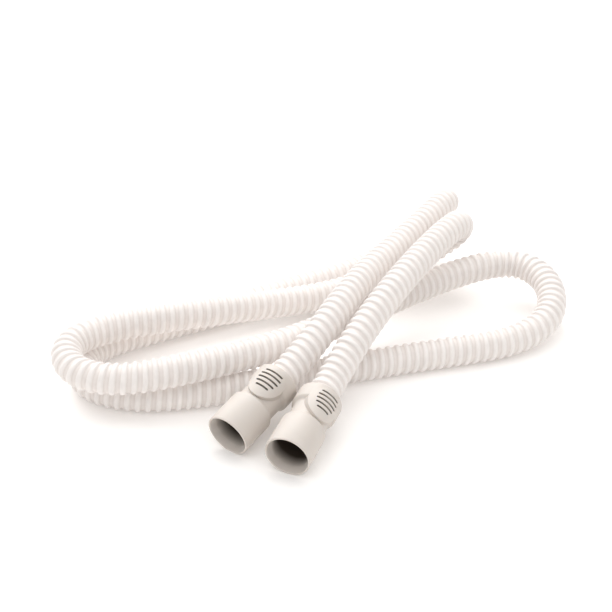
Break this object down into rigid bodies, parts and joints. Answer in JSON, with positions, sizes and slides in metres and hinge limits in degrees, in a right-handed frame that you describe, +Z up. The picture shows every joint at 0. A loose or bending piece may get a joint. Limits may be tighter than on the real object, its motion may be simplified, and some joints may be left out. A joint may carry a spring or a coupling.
{
  "type": "cpap hose",
  "caption": "Slim corrugated breathing hose, open at both ends, with a moulded push-on cuff on each end, lying in loose loops.",
  "frame": {"origin": "middle of the laid-out hose on the table it lies on", "axes": "+X along the longest way across the loops, to the single loop's side; +Y away from the open ends of the cuffs; +Z up from the table"},
  "size_m": [0.3198, 0.2777, 0.0609],
  "materials": {
    "hose": "satin, slightly milky",
    "cuff": "fine satin moulding"
  },
  "bodies": {
    "root": {"hose": "hose", "cuff_left": "cuff", "cuff_right": "cuff"}
  },
  "joints": []
}
